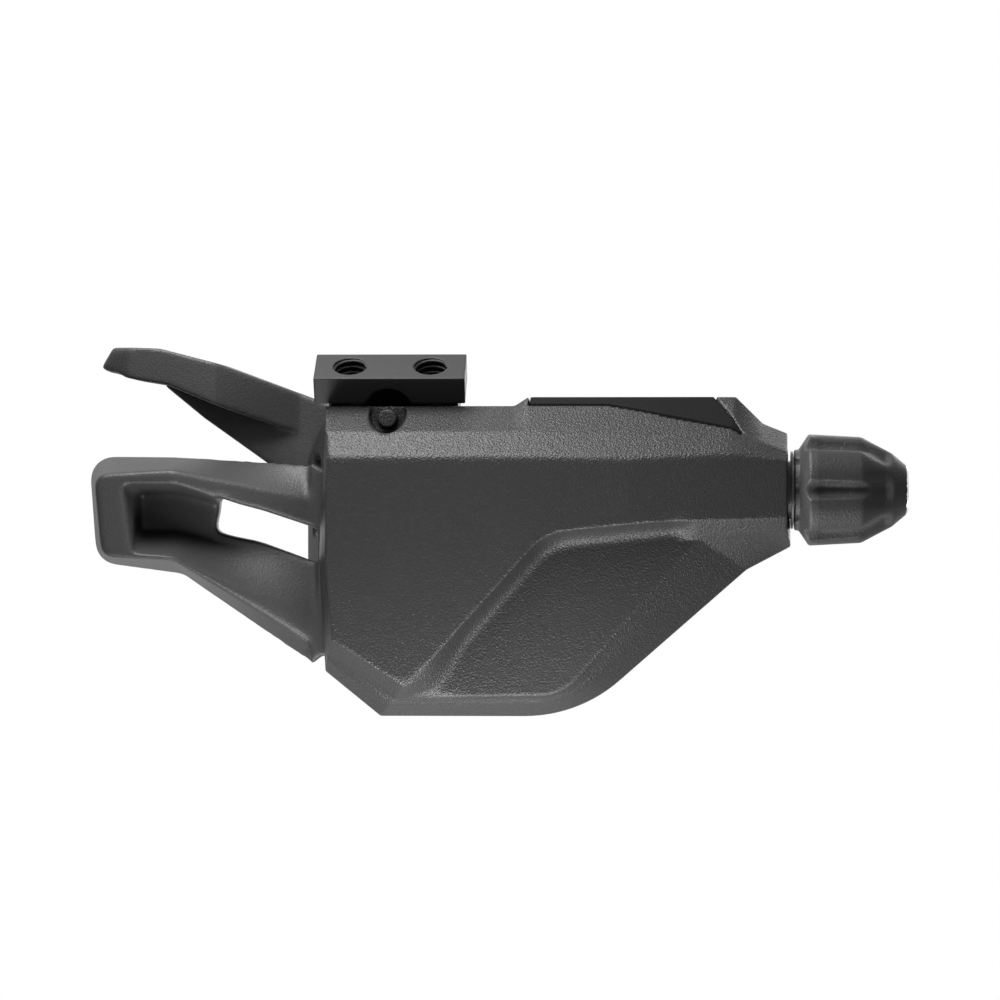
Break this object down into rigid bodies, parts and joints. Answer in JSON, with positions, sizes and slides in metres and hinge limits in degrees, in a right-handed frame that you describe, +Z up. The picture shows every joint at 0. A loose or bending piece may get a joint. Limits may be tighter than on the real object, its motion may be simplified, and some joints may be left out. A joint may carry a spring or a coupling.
{
  "type": "trigger gear shifter",
  "caption": "Flat-bar bicycle trigger shifter: moulded housing, slotted thumb pull lever, release lever, ratcheted cable spool, barrel adjuster and a two-hole clamp bracket.",
  "frame": {"origin": "centre of the bracket's clamping face, midway between its two threaded holes", "axes": "+X along the handlebar towards the cable adjuster, +Z up to the handlebar, -Y the visible front cover side; all moving levers and the spool turn about lines along Y"},
  "size_m": [0.1036, 0.027, 0.0465],
  "materials": {
    "cover_plastic": "coarse moulded grain, dark grey",
    "base_plastic": "fine moulded grain, near black",
    "hatch_plastic": "smooth moulded, near black",
    "bracket_alloy": "satin black anodised",
    "lever_composite": "fine satin grain, near black",
    "knob_plastic": "satin, dark grey",
    "steel": "machined",
    "screw_steel": "black oxide",
    "spring_steel": "drawn wire",
    "spool_plastic": "smooth",
    "bush_brass": "sintered",
    "stem_alloy": "bright machined"
  },
  "bodies": {
    "housing": {"front_cover": "cover_plastic", "rear_housing": "base_plastic", "mounting_bracket": "bracket_alloy", "bracket_screws": "screw_steel", "cover_screws": "screw_steel", "main_axle": "steel", "axle_washer": "steel", "axle_clip": "spring_steel", "spool_return_spring": "spring_steel", "lever_return_spring": "spring_steel", "release_return_spring": "spring_steel", "hold_pawl_pin": "steel", "adjuster_insert": "screw_steel", "adjuster_detent_spring": "screw_steel"},
    "pull_lever": {"pull_lever": "lever_composite", "lever_bushing": "bush_brass", "pull_pawl_pin": "steel"},
    "pull_pawl": {"pull_pawl": "steel"},
    "release_lever": {"release_lever": "lever_composite", "release_shaft": "steel", "release_lever_screw": "screw_steel", "release_cam": "steel"},
    "hold_pawl": {"hold_pawl": "steel"},
    "spool": {"cable_spool": "spool_plastic", "ratchet_wheel": "steel", "spool_bushing": "bush_brass"},
    "adjuster_knob": {"adjuster_knob": "knob_plastic"},
    "adjuster_stem": {"adjuster_stem": "stem_alloy"},
    "cable_port_cover": {"cable_port_cover": "hatch_plastic"}
  },
  "joints": [
    {"name": "pull_lever_swing", "type": "hinge", "parent": "housing", "child": "pull_lever", "pos_m": [0.01, 0, -0.026], "axis": [0, -1, 0], "range_deg": [0, 40], "stiffness_Nm_per_rad": 0.2, "springref_deg": -20.05},
    {"name": "pull_pawl_tilt", "type": "hinge", "parent": "pull_lever", "child": "pull_pawl", "pos_m": [-0.00415, 0, -0.02476], "axis": [0, 1, 0], "range_deg": [0, 6], "stiffness_Nm_per_rad": 0.004, "springref_deg": -20.05},
    {"name": "release_lever_swing", "type": "hinge", "parent": "housing", "child": "release_lever", "pos_m": [-0.0025, 0, -0.0111], "axis": [0, -1, 0], "range_deg": [0, 14], "stiffness_Nm_per_rad": 0.1, "springref_deg": -20.05},
    {"name": "hold_pawl_tilt", "type": "hinge", "parent": "housing", "child": "hold_pawl", "pos_m": [0.01, 0, -0.0086], "axis": [0, 1, 0], "range_deg": [0, 14]},
    {"name": "spool_turn", "type": "hinge", "parent": "housing", "child": "spool", "pos_m": [0.01, 0, -0.026], "axis": [0, -1, 0], "range_deg": [0, 220], "stiffness_Nm_per_rad": 0.004, "springref_deg": -40.11},
    {"name": "adjuster_turn", "type": "hinge", "parent": "housing", "child": "adjuster_knob", "pos_m": [0.05, -0.0005, -0.0155], "axis": [1, 0, 0], "range_deg": [0, 1800.1]},
    {"name": "adjuster_stem_slide", "type": "slide", "parent": "housing", "child": "adjuster_stem", "axis": [1, 0, 0], "range_m": [0, 0.004]},
    {"name": "cable_port_cover_lift", "type": "slide", "parent": "housing", "child": "cable_port_cover", "axis": [0, 0, 1], "range_m": [0, 0.012]}
  ],
  "couplings": [
    {"joint": "hold_pawl_tilt", "follows": "release_lever_swing", "ratio": 1},
    {"joint": "adjuster_turn", "follows": "adjuster_stem_slide", "rad_per_m": 7854}
  ]
}
